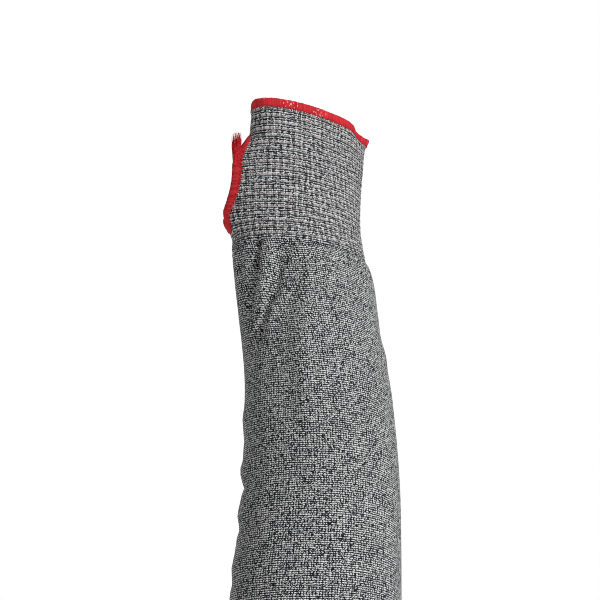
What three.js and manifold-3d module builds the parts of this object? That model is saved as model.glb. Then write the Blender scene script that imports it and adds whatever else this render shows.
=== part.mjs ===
// Cut resistant sleeve in its worn form: a knitted arm tube, a waffle knit cuff over the palm with a
// slot for the thumb, and red overlocked edges round the finger opening and the thumb slot.
// Millimetres. The arm runs along Z with the hand up. The origin is inside the wrist, at the level
// where the cuff meets the arm tube. The thumb slot faces -X and the back of the hand faces -Y.
// Angles are in degrees round the arm, from +X towards +Y: the little finger is near 50, the palm
// near 140, the thumb near 215 and the back of the hand near 300.
import * as THREE from "three";
import { mergeVertices } from "three/addons/utils/BufferGeometryUtils.js";
import Module from "manifold-3d";

// Lengths along the arm
const cuffLength = 79.5;
const tubeLength = 374;

// The knit across the hand, the wrist and the upper arm
const palmBreadth = 84;
const palmDepth = 35;
const wristBreadth = 84;
const wristDepth = 61;
const armBreadth = 97;
const armDepth = 93;
const palmSquareness = 0.4;

// How far the middle of the hand and of the forearm lie to the side of the wrist
const handSway = 5.5;
const armSway = 12;

// Walls of the knit
const cuffWall = 1.6;
const tubeWall = 1.3;
const weltWall = 2;
const weltHeight = 14;

// Fullness under the cuff, folds, and the edge tucked in, turned out and dipped at the little finger
const gatherPuff = 6;
const foldWidth = 9;
const foldHeight = 1.8;
const rimFlare = 2.3;
const flareHeight = 15;
const rimTuck = 1.5;
const rimDip = 5.2;
const rimPeak = 2;
const dipHeight = 30;

// Thumb slot: its fabric edge is an oval, held out from the hand as the thumb holds it
const slotLength = 47.5;
const slotWidth = 19;
const slotFootLift = 8.8;
const slotHeadLift = 8.4;
const slotCentre = 0.443; // share of cuffLength
const liftEase = 15;

// Overlocked edges
const bindingWidth = 5;
const bindingThickness = 0.7;
const tailLength = 16.5;
const tailWidth = 4.6;
const tailThickness = 2.2;
const tailTaper = 0.7;

// Clearances between pieces
const seamGap = 0.3;
const edgeClearance = 0.6;
const slotEdgeClearance = 0.7;

// Where features lie round the arm, in degrees
const slotAngle = 203;
const liftAngle = 218;
const liftFrontSpread = 20;
const liftRearSpread = 50;
const flareAngle = 13;
const flareFrontSpread = 11;
const flareRearSpread = 22;
const tuckAngle = -8;
const tuckSpread = 7;
const dipAngle = 7;
const dipFrontSpread = 18;
const dipRearSpread = 34;
const peakAngle = 215;
const peakSpread = 36;
const tailAngle = 42; // round the slot's oval, from its front edge upwards

// Fineness of the walls. The lower rings of the arm tube, and the ends of its two finer stretches
// above them, are shares of tubeLength below the wrist.
const cuffStations = 60;
const tubeStations = 48;
const slotStations = 46;
const crowding = 0.35;
const lowerRings = [0.86, 0.76, 0.66, 0.58];
const forearmReach = 0.5;
const forearmRings = 10;
const gatherReach = 0.14;
const gatherRings = 8;

// Sections of the cuff. at: share of cuffLength above the wrist. thin: share of the way from
// wristDepth to palmDepth. grown: share of the way from wristBreadth to palmBreadth. puff: share of
// gatherPuff. aside: share of handSway. square: share of palmSquareness. turn: degrees from +X of
// the long axis.
const cuffSections = [
  { at: 0.0, thin: 0.0, grown: 0.0, puff: 0.67, aside: 0.0, square: 0.0, turn: 48 },
  { at: 0.22, thin: 0.28, grown: 0.2, puff: 0.43, aside: -0.04, square: 0.1, turn: 50 },
  { at: 0.4, thin: 0.52, grown: 0.4, puff: 0.2, aside: 0.18, square: 0.3, turn: 50 },
  { at: 0.58, thin: 0.72, grown: 0.6, puff: 0.15, aside: 0.45, square: 0.6, turn: 50 },
  { at: 0.76, thin: 0.9, grown: 0.8, puff: 0.12, aside: 0.78, square: 0.9, turn: 50 },
  { at: 1.0, thin: 1.0, grown: 1.0, puff: 0.0, aside: 1.0, square: 1.0, turn: 50 },
];

// Sections of the arm tube. at: share of tubeLength below the wrist. wide and deep: shares of the
// way from the wrist's breadth and depth to the arm's. puff: share of gatherPuff. aside: share of
// armSway. turn: degrees from +X of the long axis.
const tubeSections = [
  { at: 0.0, wide: 0.0, deep: 0.0, puff: 0.67, aside: 0.0, turn: 48 },
  { at: 0.013, wide: 0.0, deep: 0.06, puff: 0.97, aside: 0.11, turn: 47 },
  { at: 0.04, wide: 0.0, deep: 0.13, puff: 0.9, aside: 0.24, turn: 45.5 },
  { at: 0.072, wide: 0.0, deep: 0.17, puff: 0.6, aside: 0.36, turn: 45 },
  { at: 0.126, wide: 0.01, deep: 0.21, puff: 0.05, aside: 0.57, turn: 43 },
  { at: 0.19, wide: 0.04, deep: 0.31, puff: 0.0, aside: 0.84, turn: 39 },
  { at: 0.26, wide: 0.2, deep: 0.42, puff: 0.0, aside: 0.94, turn: 36.5 },
  { at: 0.34, wide: 0.33, deep: 0.52, puff: 0.0, aside: 0.99, turn: 34.5 },
  { at: 0.42, wide: 0.51, deep: 0.64, puff: 0.0, aside: 0.89, turn: 32.5 },
  { at: 0.5, wide: 0.72, deep: 0.74, puff: 0.0, aside: 0.74, turn: 30 },
  { at: 0.62, wide: 0.88, deep: 0.85, puff: 0.0, aside: 0.58, turn: 28 },
  { at: 0.78, wide: 0.96, deep: 0.94, puff: 0.0, aside: 0.42, turn: 26 },
  { at: 1.0, wide: 1.0, deep: 1.0, puff: 0.0, aside: 0.25, turn: 25 },
];

// Folds of the arm tube, each along a straight line on the knit. head and foot: its ends, as
// shares of tubeLength below the wrist. from and to: degrees round the arm at those ends. wide:
// share of foldWidth. high: share of foldHeight, below zero for a crease.
const tubeFolds = [
  { head: 0.004, foot: 0.1, from: 242, to: 217, wide: 0.5, high: -0.9 },
  { head: 0.03, foot: 0.13, from: 250, to: 226, wide: 0.5, high: 0.8 },
  { head: 0.012, foot: 0.15, from: 268, to: 221, wide: 0.6, high: -1.0 },
  { head: 0.035, foot: 0.11, from: 279, to: 257, wide: 0.9, high: -0.7 },
  { head: 0.006, foot: 0.05, from: 300, to: 296, wide: 0.5, high: -0.4 },
  { head: 0.006, foot: 0.06, from: 322, to: 316, wide: 0.6, high: -0.35 },
  { head: 0.02, foot: 0.09, from: 345, to: 338, wide: 0.8, high: 0.4 },
  { head: 0.125, foot: 0.35, from: 264, to: 268, wide: 1.5, high: 0.8 },
  { head: 0.135, foot: 0.15, from: 335, to: 372, wide: 0.7, high: 0.55 },
  { head: 0.325, foot: 0.335, from: 172, to: 208, wide: 0.7, high: 0.35 },
  { head: 0.385, foot: 0.395, from: 168, to: 202, wide: 0.8, high: 0.4 },
  { head: 0.46, foot: 0.47, from: 170, to: 204, wide: 0.8, high: 0.45 },
  { head: 0.01, foot: 0.1, from: 20, to: 28, wide: 0.7, high: -0.6 },
  { head: 0.01, foot: 0.12, from: 68, to: 60, wide: 0.7, high: -0.7 },
  { head: 0.01, foot: 0.09, from: 108, to: 112, wide: 0.6, high: -0.6 },
  { head: 0.01, foot: 0.11, from: 150, to: 158, wide: 0.7, high: -0.7 },
  { head: 0.01, foot: 0.08, from: 188, to: 192, wide: 0.6, high: -0.5 },
];

const wasm = await Module();
wasm.setup();

const radians = THREE.MathUtils.degToRad;
const mix = THREE.MathUtils.lerp;

// A smooth curve through a table's rows, which gives every named column at any share
function curveThrough(rows) {
  const columns = Object.keys(rows[0]).filter((name) => name !== "at");
  const shares = rows.map((row) => row.at);
  const values = rows.flatMap((row) => columns.map((name) => row[name]));
  const curve = new THREE.CubicInterpolant(shares, values, columns.length);
  return (share) => {
    const found = [...curve.evaluate(share)];
    return Object.fromEntries(columns.map((name, column) => [name, found[column]]));
  };
}

const cuffAt = curveThrough(cuffSections);
const tubeAt = curveThrough(tubeSections);

// The section of the knit at a height: its half axes, lean to the side, turn and squareness
function sectionAt(height) {
  if (height >= 0) {
    const row = cuffAt(height / cuffLength);
    return {
      long: (mix(wristBreadth, palmBreadth, row.grown) + gatherPuff * row.puff) / 2,
      short: mix(wristDepth, palmDepth, row.thin) / 2,
      lean: handSway * row.aside,
      turn: row.turn,
      power: 2 / (2 + palmSquareness * row.square),
    };
  }
  const row = tubeAt(-height / tubeLength);
  return {
    long: (mix(wristBreadth, armBreadth, row.wide) + gatherPuff * row.puff) / 2,
    short: mix(wristDepth, armDepth, row.deep) / 2,
    lean: armSway * row.aside,
    turn: row.turn,
    power: 1,
  };
}

// Signed degrees from one angle round the arm to another, from -180 to 180
function degreesBetween(from, to) {
  return THREE.MathUtils.euclideanModulo(to - from + 180, 360) - 180;
}

function bump(distance, spread) {
  return Math.exp(-((distance / spread) ** 2));
}

// How far the folds move the knit outwards at a place
function foldRise(angle, height, section) {
  const arcPerDegree = radians((section.long + section.short) / 2);
  let rise = 0;
  for (const fold of tubeFolds) {
    const top = -fold.head * tubeLength;
    const drop = (fold.foot - fold.head) * tubeLength;
    const run = (fold.to - fold.from) * arcPerDegree;
    const across = degreesBetween(fold.from, angle) * arcPerDegree;
    const down = top - height;
    const along = THREE.MathUtils.clamp((across * run + down * drop) / (run ** 2 + drop ** 2), 0, 1);
    const off = Math.hypot(across - along * run, down - along * drop);
    rise += fold.high * foldHeight * bump(off, fold.wide * foldWidth);
  }
  return rise;
}

const slotMiddle = slotCentre * cuffLength;
const slotFoot = slotMiddle - slotLength / 2;
const slotHead = slotMiddle + slotLength / 2;

// How far the thumb holds the knit out along -X beside its slot
function thumbLift(angle, height) {
  const aside = degreesBetween(liftAngle, angle);
  const spread = aside > 0 ? liftFrontSpread : liftRearSpread;
  const rising = THREE.MathUtils.smoothstep(height, slotFoot - liftEase / 2, slotFoot + liftEase / 2);
  const falling = THREE.MathUtils.smoothstep(height, slotHead - liftEase, slotHead + liftEase / 4);
  const share = THREE.MathUtils.clamp((height - slotFoot) / slotLength, 0, 1);
  return mix(slotFootLift, slotHeadLift, share) * rising * (1 - falling) * bump(aside, spread);
}

// How far the finger opening's edge turns outwards at the little finger, with a tuck in front of it
function edgeFlare(angle, height) {
  const near = Math.max(0, 1 - (cuffLength - height) / flareHeight);
  const aside = degreesBetween(flareAngle, angle);
  const flare = rimFlare * bump(aside, aside > 0 ? flareRearSpread : flareFrontSpread);
  return near ** 2 * (flare - rimTuck * bump(degreesBetween(tuckAngle, angle), tuckSpread));
}

// How far the finger opening's edge, and the rows under it, hang lower at the little finger and
// rise at the thumb
function edgeDrop(angle, height) {
  const near = Math.max(0, 1 - (cuffLength - height) / dipHeight);
  const aside = degreesBetween(dipAngle, angle);
  const dip = rimDip * bump(aside, aside > 0 ? dipRearSpread : dipFrontSpread);
  return near ** 1.5 * (dip - rimPeak * bump(degreesBetween(peakAngle, angle), peakSpread));
}

// A point of the knit's outer face
function facePoint(angle, height) {
  const section = sectionAt(height);
  const local = radians(angle - section.turn);
  const reach = (value) => Math.sign(value) * Math.abs(value) ** section.power;
  const point = new THREE.Vector3(
    section.long * reach(Math.cos(local)),
    section.short * reach(Math.sin(local)),
    height,
  );
  const rise = foldRise(angle, height, section) + edgeFlare(angle, height);
  const outward = new THREE.Vector3(Math.cos(local) / section.long, Math.sin(local) / section.short, 0);
  point.addScaledVector(outward.normalize(), rise);
  point.applyAxisAngle(new THREE.Vector3(0, 0, 1), radians(section.turn));
  point.x += section.lean - thumbLift(angle, height);
  point.z -= edgeDrop(angle, height);
  return point;
}

// The knit's outward direction, level, at a place on its outer face
function faceOutward(angle, height) {
  const step = 1.5;
  const run = facePoint(angle + step, height).sub(facePoint(angle - step, height));
  return new THREE.Vector3(run.y, -run.x, 0).normalize();
}

// Angles round the arm, closer together on the side of the thumb
function stationAngles(count) {
  return Array.from({ length: count }, (_, station) => {
    const even = (360 * station) / count;
    const pull = crowding * Math.sin(radians(even - liftAngle));
    return even - THREE.MathUtils.radToDeg(pull);
  });
}

// A knitted wall, flat between its stations and its rings. point gives a place at any angle,
// height and depth below the outer face, and runs straight on past the last ring.
class KnitWall {
  constructor(heights, angles) {
    this.heights = heights;
    this.angles = angles;
    this.faces = heights.map((height) => angles.map((angle) => facePoint(angle, height)));
    this.outwards = heights.map((height) => angles.map((angle) => faceOutward(angle, height)));
  }

  vertex(ring, station, depth) {
    const slot = station % this.angles.length;
    return this.faces[ring][slot].clone().addScaledVector(this.outwards[ring][slot], -depth);
  }

  point(angle, height, depth) {
    const count = this.angles.length;
    const start = this.angles[0];
    const turned = start + THREE.MathUtils.euclideanModulo(angle - start, 360);
    const last = this.angles.findLastIndex((value) => value <= turned);
    const next = last + 1 < count ? this.angles[last + 1] : start + 360;
    const share = (turned - this.angles[last]) / (next - this.angles[last]);
    const below = this.heights.findLastIndex((value) => value <= height);
    const ring = THREE.MathUtils.clamp(below, 0, this.heights.length - 2);
    const climb = (height - this.heights[ring]) / (this.heights[ring + 1] - this.heights[ring]);
    const level = (row) => this.vertex(row, last, depth).lerp(this.vertex(row, last + 1, depth), share);
    const lower = level(ring);
    return lower.add(level(ring + 1).sub(lower).multiplyScalar(climb));
  }
}

// A ring-shaped solid from closed loops of points, one for each station round the ring
function ringSolid(loops) {
  const size = loops[0].length;
  const positions = loops.flat().flatMap((point) => point.toArray());
  const faces = [];
  for (let loop = 0; loop < loops.length; loop += 1) {
    const here = loop * size;
    const there = ((loop + 1) % loops.length) * size;
    for (let spot = 0; spot < size; spot += 1) {
      const onward = (spot + 1) % size;
      faces.push(here + spot, there + spot, there + onward);
      faces.push(here + spot, there + onward, here + onward);
    }
  }
  const geometry = new THREE.BufferGeometry();
  geometry.setAttribute("position", new THREE.Float32BufferAttribute(positions, 3));
  geometry.setIndex(faces);
  return geometry;
}

// An open-ended knitted tube: its wall's thickness is given for each ring
function tubeSolid(wall, thicknessAt) {
  const rings = wall.heights.map((_, ring) => ring);
  const loops = wall.angles.map((_, station) => [
    ...rings.map((ring) => wall.vertex(ring, station, 0)),
    ...rings.toReversed().map((ring) => wall.vertex(ring, station, thicknessAt(wall.heights[ring]))),
  ]);
  return ringSolid(loops);
}

function toManifold(geometry) {
  const bare = new THREE.BufferGeometry();
  bare.setAttribute("position", geometry.getAttribute("position"));
  bare.setIndex(geometry.getIndex());
  const merged = mergeVertices(bare);
  return new wasm.Manifold(new wasm.Mesh({
    numProp: 3,
    vertProperties: new Float32Array(merged.getAttribute("position").array),
    triVerts: new Uint32Array(merged.getIndex().array),
  }));
}

function toGeometry(solid) {
  const mesh = solid.getMesh();
  const geometry = new THREE.BufferGeometry();
  geometry.setAttribute("position", new THREE.BufferAttribute(mesh.vertProperties, 3));
  geometry.setIndex(new THREE.BufferAttribute(mesh.triVerts, 1));
  return geometry;
}

// Heights between two levels, closer together at both ends
function easedHeights(from, to, count) {
  const steps = Array.from({ length: count }, (_, step) => step);
  return steps.map((step) => mix(from, to, 0.5 - 0.5 * Math.cos((Math.PI * step) / count)));
}

const cuffHeights = [
  ...easedHeights(seamGap / 2, slotFoot, 3),
  ...easedHeights(slotFoot, slotHead, 8),
  ...easedHeights(slotHead, cuffLength - bindingWidth, 2),
  cuffLength - bindingWidth,
  cuffLength,
];
const cuffKnit = new KnitWall(cuffHeights, stationAngles(cuffStations));

// Where a place beside the slot's oval lies on the knit. along: mm from its edge, above zero into
// the slot.
function slotPlace(round, along) {
  const perDegree = cuffKnit.point(slotAngle + 1, slotMiddle, 0)
    .distanceTo(cuffKnit.point(slotAngle - 1, slotMiddle, 0)) / 2;
  const angle = slotAngle + (slotWidth / 2 / perDegree) * Math.cos(radians(round));
  const height = slotMiddle + (slotLength / 2) * Math.sin(radians(round));
  const inward = new THREE.Vector2(
    -Math.cos(radians(round)) * slotLength,
    -Math.sin(radians(round)) * slotWidth,
  ).normalize();
  const edge = cuffKnit.point(angle, height, 0);
  const stepped = cuffKnit.point(angle + inward.x / perDegree, height + inward.y, 0);
  const travel = along / edge.distanceTo(stepped);
  return [angle + (inward.x / perDegree) * travel, height + inward.y * travel];
}

function slotPoint(round, along, depth) {
  return cuffKnit.point(...slotPlace(round, along), depth);
}

const slotRounds = Array.from({ length: slotStations }, (_, station) => (360 * station) / slotStations);

// The solid that the slot takes out of the cuff, from well outside the knit to well inside it
function slotPlug() {
  const reach = 5;
  const depths = [-reach, cuffWall + reach];
  const positions = [];
  for (const depth of depths) {
    positions.push(...cuffKnit.point(slotAngle, slotMiddle, depth).toArray());
    positions.push(...slotRounds.flatMap((round) => slotPoint(round, 0, depth).toArray()));
  }
  const inside = slotStations + 1;
  const faces = [];
  for (let station = 1; station <= slotStations; station += 1) {
    const next = (station % slotStations) + 1;
    faces.push(0, station, next);
    faces.push(inside, inside + next, inside + station);
    faces.push(station, inside + station, inside + next);
    faces.push(station, inside + next, next);
  }
  const geometry = new THREE.BufferGeometry();
  geometry.setAttribute("position", new THREE.Float32BufferAttribute(positions, 3));
  geometry.setIndex(faces);
  return geometry;
}

// The section of an overlocked edge, a flat hook with a rounded crown. out: mm outwards from the
// middle of the knit. along: mm from the knit's edge, above zero off the knit.
function bindingSection(clearance) {
  const inner = cuffWall / 2 + clearance;
  const outer = inner + bindingThickness;
  const shoulder = outer * 0.94;
  const top = outer * 0.45;
  const crown = clearance + bindingThickness;
  const lap = bindingWidth - crown;
  return [
    { out: outer, along: -lap },
    { out: outer, along: -lap / 2 },
    { out: shoulder, along: clearance / 2 },
    { out: top, along: crown },
    { out: -top, along: crown },
    { out: -shoulder, along: clearance / 2 },
    { out: -outer, along: -lap / 2 },
    { out: -outer, along: -lap },
    { out: -inner, along: -lap },
    { out: -inner, along: -lap / 2 },
    { out: -inner, along: clearance },
    { out: inner, along: clearance },
    { out: inner, along: -lap / 2 },
    { out: inner, along: -lap },
  ];
}

function palmCuff() {
  const body = toManifold(tubeSolid(cuffKnit, () => cuffWall));
  return toGeometry(body.subtract(toManifold(slotPlug())));
}

function armTube() {
  const heights = [
    -tubeLength,
    -tubeLength + weltHeight,
    -tubeLength + weltHeight + weltWall,
    ...lowerRings.map((share) => -tubeLength * share),
    ...easedHeights(-tubeLength * forearmReach, -tubeLength * gatherReach, forearmRings),
    ...easedHeights(-tubeLength * gatherReach, -seamGap / 2, gatherRings),
    -seamGap / 2,
  ];
  const knit = new KnitWall(heights, stationAngles(tubeStations));
  const weltTop = -tubeLength + weltHeight;
  return tubeSolid(knit, (height) => (height <= weltTop ? weltWall : tubeWall));
}

function fingerEdgeBinding() {
  const loops = cuffKnit.angles.map((angle) => bindingSection(edgeClearance).map(({ out, along }) => (
    cuffKnit.point(angle, cuffLength + along, cuffWall / 2 - out)
  )));
  return ringSolid(loops);
}

// The slot's binding, with the end of its thread chain standing up from the front of the slot
function thumbSlotBinding() {
  const loops = slotRounds.map((round) => bindingSection(slotEdgeClearance).map(({ out, along }) => (
    slotPoint(round, along, cuffWall / 2 - out)
  )));
  const outward = faceOutward(...slotPlace(tailAngle, -tailWidth));
  const start = slotPoint(tailAngle, 0, -slotEdgeClearance - tailThickness * tailTaper);
  const tail = new THREE.CylinderGeometry((tailWidth / 2) * tailTaper, tailWidth / 2, tailLength, 8);
  tail.scale(1, 1, tailThickness / tailWidth);
  tail.rotateX(Math.PI / 2);
  tail.rotateZ(Math.atan2(outward.y, outward.x) - Math.PI / 2);
  tail.translate(start.x, start.y, start.z + tailLength / 2);
  return toGeometry(toManifold(ringSolid(loops)).add(toManifold(tail)));
}

function piece(name, geometry, color, roughness) {
  geometry.computeVertexNormals();
  const material = new THREE.MeshStandardMaterial({ color, roughness, metalness: 0 });
  const mesh = new THREE.Mesh(geometry, material);
  mesh.name = name;
  return mesh;
}

const sleeve = new THREE.Group();
sleeve.add(piece("palm_cuff", palmCuff(), 0x838485, 0.95));
sleeve.add(piece("arm_tube", armTube(), 0x78797a, 0.95));
sleeve.add(piece("finger_edge_binding", fingerEdgeBinding(), 0xae2c32, 0.85));
sleeve.add(piece("thumb_slot_binding", thumbSlotBinding(), 0xae2c32, 0.85));

export default sleeve;
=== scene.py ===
import math
import random
import bmesh
import bpy
import numpy as np
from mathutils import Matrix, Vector


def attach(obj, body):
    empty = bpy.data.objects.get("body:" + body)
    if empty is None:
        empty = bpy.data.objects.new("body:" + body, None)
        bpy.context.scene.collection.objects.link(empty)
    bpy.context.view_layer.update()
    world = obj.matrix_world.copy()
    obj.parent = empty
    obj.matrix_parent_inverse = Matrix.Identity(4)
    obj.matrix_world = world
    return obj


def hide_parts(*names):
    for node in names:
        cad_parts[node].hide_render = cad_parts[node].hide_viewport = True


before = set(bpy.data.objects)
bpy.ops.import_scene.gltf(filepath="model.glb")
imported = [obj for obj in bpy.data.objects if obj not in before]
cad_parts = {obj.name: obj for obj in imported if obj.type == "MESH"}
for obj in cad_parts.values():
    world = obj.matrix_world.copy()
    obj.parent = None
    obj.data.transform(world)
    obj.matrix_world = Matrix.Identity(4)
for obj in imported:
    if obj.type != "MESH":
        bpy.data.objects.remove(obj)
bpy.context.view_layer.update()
mm = 0.001


# The worn form in millimetres and degrees, as in the solids: hand up, thumb to -X, origin in the wrist
form = {
    "cuffLength": 79.5, "tubeLength": 374.0,
    "wrist": (84.0, 61.0), "palm": (84.0, 35.0), "arm": (97.0, 93.0),   # breadth and depth of the knit
    "handSway": 5.5, "armSway": 12.0, "palmSquareness": 0.4,
    "gatherPuff": 6.0, "foldWidth": 9.0, "foldHeight": 1.8,
    "rimFlare": 2.3, "flareHeight": 15.0, "flareAngle": 13.0,
    "flareFrontSpread": 11.0, "flareRearSpread": 22.0, "rimTuck": 1.5, "tuckAngle": -8.0, "tuckSpread": 7.0,
    "rimDip": 5.2, "dipHeight": 30.0, "dipAngle": 7.0, "dipFrontSpread": 18.0, "dipRearSpread": 34.0,
    "rimPeak": 2.0, "peakAngle": 215.0, "peakSpread": 36.0,
    "slotLength": 47.5, "slotWidth": 19.0, "slotCentre": 0.443, "slotAngle": 203.0,
    "slotFootLift": 8.8, "slotHeadLift": 8.4, "liftEase": 15.0,
    "liftAngle": 218.0, "liftFrontSpread": 20.0, "liftRearSpread": 50.0,
}

# share of the cuff's length, thin, grown, puff, aside, square, turn
cuffRows = [
    (0.0, 0.0, 0.0, 0.67, 0.0, 0.0, 48), (0.22, 0.28, 0.2, 0.43, -0.04, 0.1, 50),
    (0.4, 0.52, 0.4, 0.2, 0.18, 0.3, 50), (0.58, 0.72, 0.6, 0.15, 0.45, 0.6, 50),
    (0.76, 0.9, 0.8, 0.12, 0.78, 0.9, 50), (1.0, 1.0, 1.0, 0.0, 1.0, 1.0, 50),
]
# share of the tube's length, wide, deep, puff, aside, turn
tubeRows = [
    (0.0, 0.0, 0.0, 0.67, 0.0, 48), (0.013, 0.0, 0.06, 0.97, 0.11, 47), (0.04, 0.0, 0.13, 0.9, 0.24, 45.5),
    (0.072, 0.0, 0.17, 0.6, 0.36, 45), (0.126, 0.01, 0.21, 0.05, 0.57, 43), (0.19, 0.04, 0.31, 0.0, 0.84, 39),
    (0.26, 0.2, 0.42, 0.0, 0.94, 36.5), (0.34, 0.33, 0.52, 0.0, 0.99, 34.5),
    (0.42, 0.51, 0.64, 0.0, 0.89, 32.5), (0.5, 0.72, 0.74, 0.0, 0.74, 30),
    (0.62, 0.88, 0.85, 0.0, 0.58, 28), (0.78, 0.96, 0.94, 0.0, 0.42, 26), (1.0, 1.0, 1.0, 0.0, 0.25, 25),
]
# head and foot as shares of the tube's length, degrees at head and foot, width and height as shares
foldRows = [
    (0.004, 0.1, 242, 217, 0.5, -0.9), (0.03, 0.13, 250, 226, 0.5, 0.8), (0.012, 0.15, 268, 221, 0.6, -1.0),
    (0.035, 0.11, 279, 257, 0.9, -0.7), (0.006, 0.05, 300, 296, 0.5, -0.4),
    (0.006, 0.06, 322, 316, 0.6, -0.35), (0.02, 0.09, 345, 338, 0.8, 0.4), (0.125, 0.35, 264, 268, 1.5, 0.8),
    (0.135, 0.15, 335, 372, 0.7, 0.55), (0.325, 0.335, 172, 208, 0.7, 0.35),
    (0.385, 0.395, 168, 202, 0.8, 0.4), (0.46, 0.47, 170, 204, 0.8, 0.45), (0.01, 0.1, 20, 28, 0.7, -0.6),
    (0.01, 0.12, 68, 60, 0.7, -0.7), (0.01, 0.09, 108, 112, 0.6, -0.6), (0.01, 0.11, 150, 158, 0.7, -0.7),
    (0.01, 0.08, 188, 192, 0.6, -0.5),
]
# small tucks that the solids leave out: width and height as shares, then shares of the length and degrees
tuckLines = [
    # long creases down from the cuff, on the side of the thumb
    (0.22, -1.8, [(0.0017, 242.5), (0.0511, 233.1), (0.0741, 225.3), (0.0991, 213.1)]),
    (0.22, -1.85, [(0.0071, 273.6), (0.0227, 263.9), (0.0403, 258.2), (0.0686, 253.1), (0.0964, 238.6),
                    (0.139, 222.9)]),
    (0.34, -0.8, [(0.0382, 278.4), (0.0646, 271.5), (0.091, 261.2), (0.1227, 245.8)]),
    (0.2, -0.6, [(0.0132, 228.3), (0.0281, 217.7), (0.0538, 214.9)]),
    # broad folds beside them
    (0.45, 0.75, [(0.0227, 286), (0.091, 272), (0.151, 264.5), (0.2383, 262.8), (0.27, 263)]),
    (0.9, -0.95, [(0.04, 266), (0.091, 257), (0.15, 249), (0.23, 247)]),
    (0.9, -0.35, [(0.12, 232), (0.22, 231)]), (0.3, 0.4, [(0.03, 248), (0.075, 240)]),
    (0.4, 0.3, [(0.13, 260), (0.19, 261)]),
    # gathers right under the cuff
    (0.16, -0.4, [(0.0, 236), (0.03, 232)]), (0.16, -0.4, [(0.0, 249), (0.035, 247)]),
    (0.15, -0.35, [(0.0, 258), (0.03, 257)]), (0.16, -0.35, [(0.0, 287), (0.028, 286)]),
    (0.16, -0.3, [(0.0, 308), (0.03, 307)]), (0.17, -0.35, [(0.0, 331), (0.035, 329)]),
    (0.17, -0.35, [(0.0, 352), (0.03, 351)]), (0.17, -0.35, [(0.0, 8), (0.03, 9)]),
    (0.17, -0.35, [(0.0, 38), (0.03, 38)]), (0.17, -0.4, [(0.0, 54), (0.035, 53)]),
    (0.17, -0.35, [(0.0, 84), (0.03, 84)]), (0.17, -0.4, [(0.0, 96), (0.035, 96)]),
    (0.17, -0.35, [(0.0, 124), (0.03, 125)]), (0.17, -0.4, [(0.0, 138), (0.035, 139)]),
    (0.17, -0.35, [(0.0, 166), (0.03, 167)]), (0.17, -0.35, [(0.0, 203), (0.03, 202)]),
    (0.17, -0.4, [(0.0, 219), (0.03, 216)]),
    # faint bends round the arm
    (0.25, -0.25, [(0.1, 214), (0.17, 246)]), (0.5, 0.18, [(0.2, 316), (0.21, 352)]),
    (0.4, 0.2, [(0.27, 180), (0.29, 226)]), (0.5, -0.15, [(0.36, 300), (0.37, 345)]),
    (0.7, 0.3, [(0.55, 172), (0.56, 230)]), (0.5, -0.3, [(0.575, 178), (0.59, 226)]),
    (0.8, -0.25, [(0.6, 20), (0.61, 74)]), (0.8, -0.3, [(0.5, 60), (0.52, 120)]),
    (0.7, 0.3, [(0.53, 66), (0.55, 126)]), (0.8, -0.25, [(0.47, 90), (0.5, 150)]),
    (0.9, 0.2, [(0.68, 280), (0.7, 340)]), (0.9, -0.2, [(0.8, 200), (0.78, 260)]),
    (0.9, 0.2, [(0.86, 30), (0.88, 90)]),
    # notches on the side of the thumb
    (0.35, 0.55, [(0.319, 172), (0.325, 206)]), (0.33, -0.85, [(0.346, 170), (0.35, 212)]),
    (0.4, 0.2, [(0.38, 170), (0.384, 205)]), (0.36, -0.8, [(0.406, 172), (0.404, 212)]),
    (0.5, 0.45, [(0.245, 172), (0.25, 212)]), (0.36, -0.4, [(0.276, 172), (0.28, 212)]),
    (0.4, -0.55, [(0.48, 170), (0.484, 210)]), (0.6, 0.4, [(0.022, 212), (0.1, 202)]),
]
foldLines = [(wide, high, [(head, start), (foot, end)]) for head, foot, start, end, wide, high in foldRows]


# A smooth curve through a table's rows
def curveThrough(rows):
    table = np.array(rows, float)
    shares, values = table[:, 0], table[:, 1:]
    last = len(shares) - 1

    def at(share):
        share = np.clip(share, shares[0], shares[-1])
        right = np.clip(np.searchsorted(shares, share, side="right"), 1, last)
        before, after = right - 2, right + 1
        t0, t1 = shares[right - 1], shares[right]
        tBefore = np.where(before < 0, t1, shares[np.maximum(before, 0)])
        tAfter = np.where(after > last, t0, shares[np.minimum(after, last)])
        vBefore = values[np.where(before < 0, right, before)]
        vAfter = values[np.where(after > last, right - 1, np.minimum(after, last))]
        wBefore = ((t1 - t0) / 2 / (t0 - tBefore))[..., None]
        wAfter = ((t1 - t0) / 2 / (tAfter - t1))[..., None]
        p = ((share - t0) / (t1 - t0))[..., None]
        return (vBefore * (-wBefore * p ** 3 + 2 * wBefore * p ** 2 - wBefore * p)
                + values[right - 1] * ((1 + wBefore) * p ** 3 + (-1.5 - 2 * wBefore) * p ** 2
                                       + (wBefore - 0.5) * p + 1)
                + values[right] * ((-1 - wAfter) * p ** 3 + (1.5 + wAfter) * p ** 2 + 0.5 * p)
                + vAfter * (wAfter * p ** 3 - wAfter * p ** 2))
    return at


cuffCurve, tubeCurve = curveThrough(cuffRows), curveThrough(tubeRows)


def smoothStep(value, low, high):
    share = np.clip((value - low) / (high - low), 0, 1)
    return share * share * (3 - 2 * share)


def bump(distance, spread):
    return np.exp(-(distance / spread) ** 2)


def turned(start, end):        # signed degrees from one angle to another
    return (end - start + 180) % 360 - 180


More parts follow.
